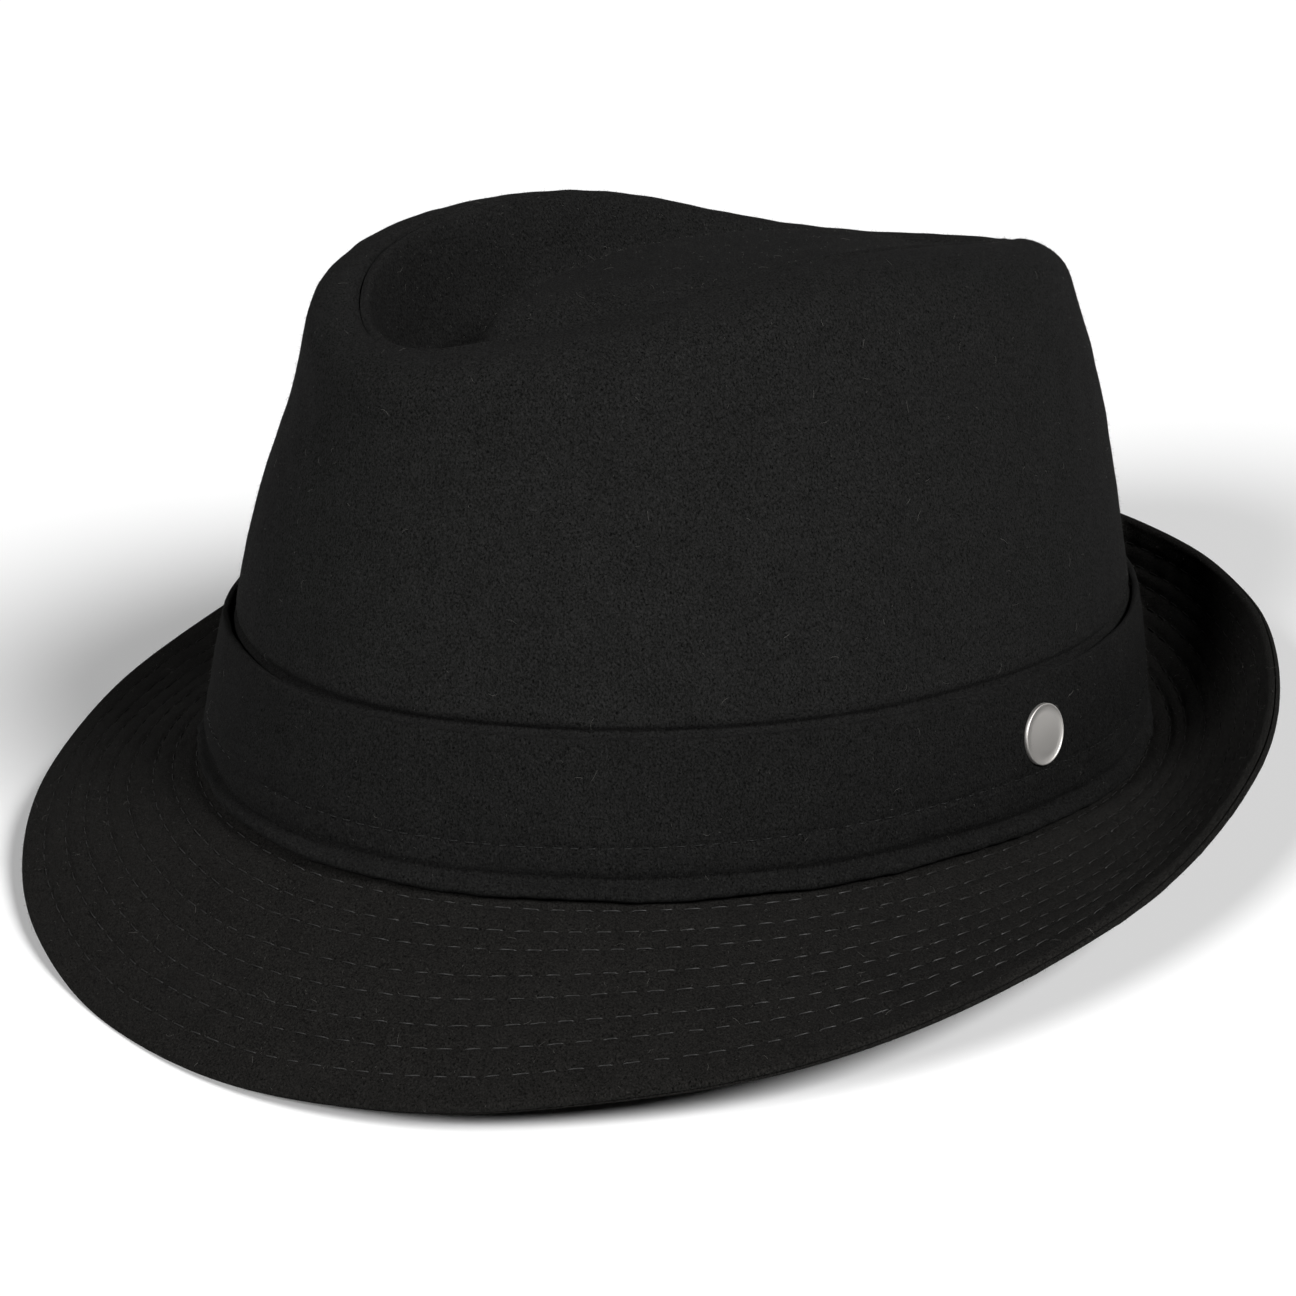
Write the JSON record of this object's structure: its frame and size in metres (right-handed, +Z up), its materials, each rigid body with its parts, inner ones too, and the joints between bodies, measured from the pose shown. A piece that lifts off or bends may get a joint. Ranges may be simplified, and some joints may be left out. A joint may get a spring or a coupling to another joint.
{
  "type": "trilby hat",
  "caption": "Soft wool trilby with a dented crown, a stitched band and brim, the brim snapped down in front and turned up behind.",
  "frame": {"origin": "centre of the hat's box, on the surface that it lies on", "axes": "+Z up from the table, +Y toward the back of the hat, +X toward the wearer's left"},
  "size_m": [0.2634, 0.2774, 0.1282],
  "materials": {
    "crown_wool": "napped",
    "band_wool": "napped",
    "brim_wool": "napped, quilted",
    "satin_metal": "satin"
  },
  "bodies": {
    "root": {"crown_side": "crown_wool", "crown_tip": "crown_wool", "hat_band": "band_wool", "brim_top": "brim_wool", "brim_under": "brim_wool", "badge": "satin_metal"}
  },
  "joints": []
}
